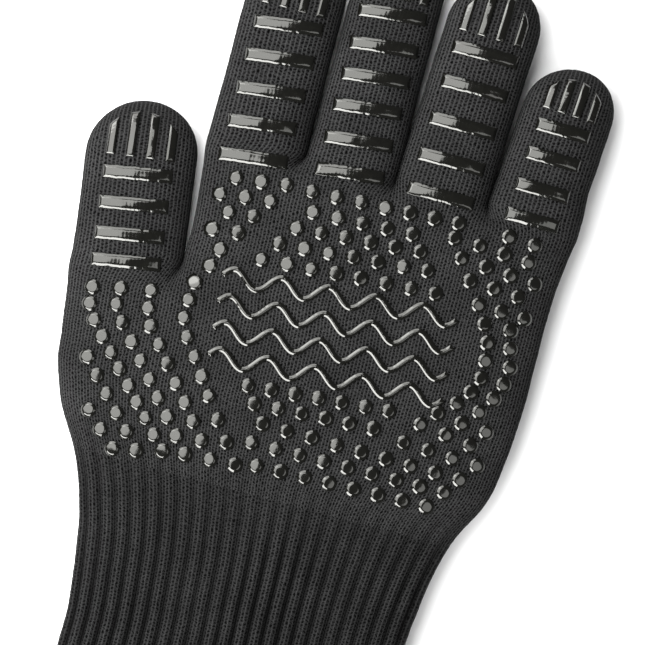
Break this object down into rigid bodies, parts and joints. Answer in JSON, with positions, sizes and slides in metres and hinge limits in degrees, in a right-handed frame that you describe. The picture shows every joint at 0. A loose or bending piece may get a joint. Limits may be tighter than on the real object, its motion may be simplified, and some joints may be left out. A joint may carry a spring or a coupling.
{
  "type": "heat resistant glove",
  "caption": "Knitted heat resistant glove lying flat, grip side up, with a ribbed cuff, a cotton liner and raised silicone bars, dots and wave ribs; fingers, thumb and cuff bend.",
  "frame": {"origin": "centre of the footprint of the glove lying on its back, on the floor", "axes": "+Y to the fingertips, +X to the little finger, +Z out of the silicone grip side"},
  "size_m": [0.1687, 0.316, 0.018],
  "materials": {
    "jersey_knit": "matt fine jersey knit",
    "rib_knit": "matt ribbed knit",
    "cotton_liner": "soft brushed cotton",
    "overlock_thread": "overlocked yarn",
    "silicone": "glossy moulded silicone"
  },
  "bodies": {
    "palm": {"dots_index_root": "silicone", "dots_lower_palm": "silicone", "dots_outer_edge": "silicone", "dots_thumb_base": "silicone", "dots_upper_palm": "silicone", "grip_wave_ribs": "silicone", "index_root_bars": "silicone", "middle_root_bars": "silicone", "palm_knit_shell": "jersey_knit", "palm_liner": "cotton_liner", "pinky_root_bars": "silicone", "ring_root_bars": "silicone", "thumb_root_bars": "silicone"},
    "cuff": {"cuff_hem": "overlock_thread", "cuff_liner": "cotton_liner", "cuff_rib_knit": "rib_knit"},
    "thumb_lower": {"thumb_lower_bars": "silicone", "thumb_lower_knit": "jersey_knit", "thumb_lower_liner": "cotton_liner"},
    "thumb_tip": {"thumb_tip_bars": "silicone", "thumb_tip_knit": "jersey_knit", "thumb_tip_liner": "cotton_liner", "thumb_tip_ribs": "silicone"},
    "index_lower": {"index_lower_bars": "silicone", "index_lower_knit": "jersey_knit", "index_lower_liner": "cotton_liner"},
    "index_tip": {"index_tip_bars": "silicone", "index_tip_knit": "jersey_knit", "index_tip_liner": "cotton_liner", "index_tip_ribs": "silicone"},
    "middle_lower": {"middle_lower_bars": "silicone", "middle_lower_knit": "jersey_knit", "middle_lower_liner": "cotton_liner"},
    "middle_tip": {"middle_tip_bars": "silicone", "middle_tip_knit": "jersey_knit", "middle_tip_liner": "cotton_liner", "middle_tip_ribs": "silicone"},
    "ring_lower": {"ring_lower_bars": "silicone", "ring_lower_knit": "jersey_knit", "ring_lower_liner": "cotton_liner"},
    "ring_tip": {"ring_tip_bars": "silicone", "ring_tip_knit": "jersey_knit", "ring_tip_liner": "cotton_liner", "ring_tip_ribs": "silicone"},
    "pinky_lower": {"pinky_lower_bars": "silicone", "pinky_lower_knit": "jersey_knit", "pinky_lower_liner": "cotton_liner"},
    "pinky_tip": {"pinky_tip_knit": "jersey_knit", "pinky_tip_liner": "cotton_liner", "pinky_tip_ribs": "silicone"}
  },
  "joints": [
    {"name": "thumb_base_bend", "type": "hinge", "parent": "palm", "child": "thumb_lower", "pos_m": [-0.06178, 0.0334, 0.0173], "axis": [0.9863, 0.165, 0], "range_deg": [0, 60]},
    {"name": "thumb_middle_bend", "type": "hinge", "parent": "thumb_lower", "child": "thumb_tip", "pos_m": [-0.06431, 0.0532, 0.0173], "axis": [0.9863, 0.165, 0], "range_deg": [0, 48.5]},
    {"name": "index_base_bend", "type": "hinge", "parent": "palm", "child": "index_lower", "pos_m": [-0.0292, 0.0902, 0.0173], "axis": [1, 0, 0], "range_deg": [0, 70]},
    {"name": "index_middle_bend", "type": "hinge", "parent": "index_lower", "child": "index_tip", "pos_m": [-0.0292, 0.1132, 0.0173], "axis": [1, 0, 0], "range_deg": [0, 77.5]},
    {"name": "middle_base_bend", "type": "hinge", "parent": "palm", "child": "middle_lower", "pos_m": [0.0034, 0.093, 0.0173], "axis": [1, 0, 0], "range_deg": [0, 70]},
    {"name": "middle_middle_bend", "type": "hinge", "parent": "middle_lower", "child": "middle_tip", "pos_m": [0.0034, 0.1146, 0.0173], "axis": [1, 0, 0], "range_deg": [0, 77.5]},
    {"name": "ring_base_bend", "type": "hinge", "parent": "palm", "child": "ring_lower", "pos_m": [0.03538, 0.0955, 0.0173], "axis": [1, 0, 0], "range_deg": [0, 70]},
    {"name": "ring_middle_bend", "type": "hinge", "parent": "ring_lower", "child": "ring_tip", "pos_m": [0.03645, 0.121, 0.0173], "axis": [1, 0, 0], "range_deg": [0, 77.5]},
    {"name": "pinky_base_bend", "type": "hinge", "parent": "palm", "child": "pinky_lower", "pos_m": [0.06726, 0.0934, 0.0173], "axis": [1, 0, 0], "range_deg": [0, 70]},
    {"name": "pinky_middle_bend", "type": "hinge", "parent": "pinky_lower", "child": "pinky_tip", "pos_m": [0.0686, 0.1126, 0.0173], "axis": [1, 0, 0], "range_deg": [0, 77.5]},
    {"name": "wrist_bend", "type": "hinge", "parent": "palm", "child": "cuff", "pos_m": [0.004, -0.047, 0.0173], "axis": [-1, 0, 0], "range_deg": [0, 60]}
  ],
  "couplings": [
    {"joint": "thumb_middle_bend", "follows": "thumb_base_bend", "ratio": 0.8},
    {"joint": "index_middle_bend", "follows": "index_base_bend", "ratio": 1.1},
    {"joint": "middle_middle_bend", "follows": "middle_base_bend", "ratio": 1.1},
    {"joint": "ring_middle_bend", "follows": "ring_base_bend", "ratio": 1.1},
    {"joint": "pinky_middle_bend", "follows": "pinky_base_bend", "ratio": 1.1}
  ]
}
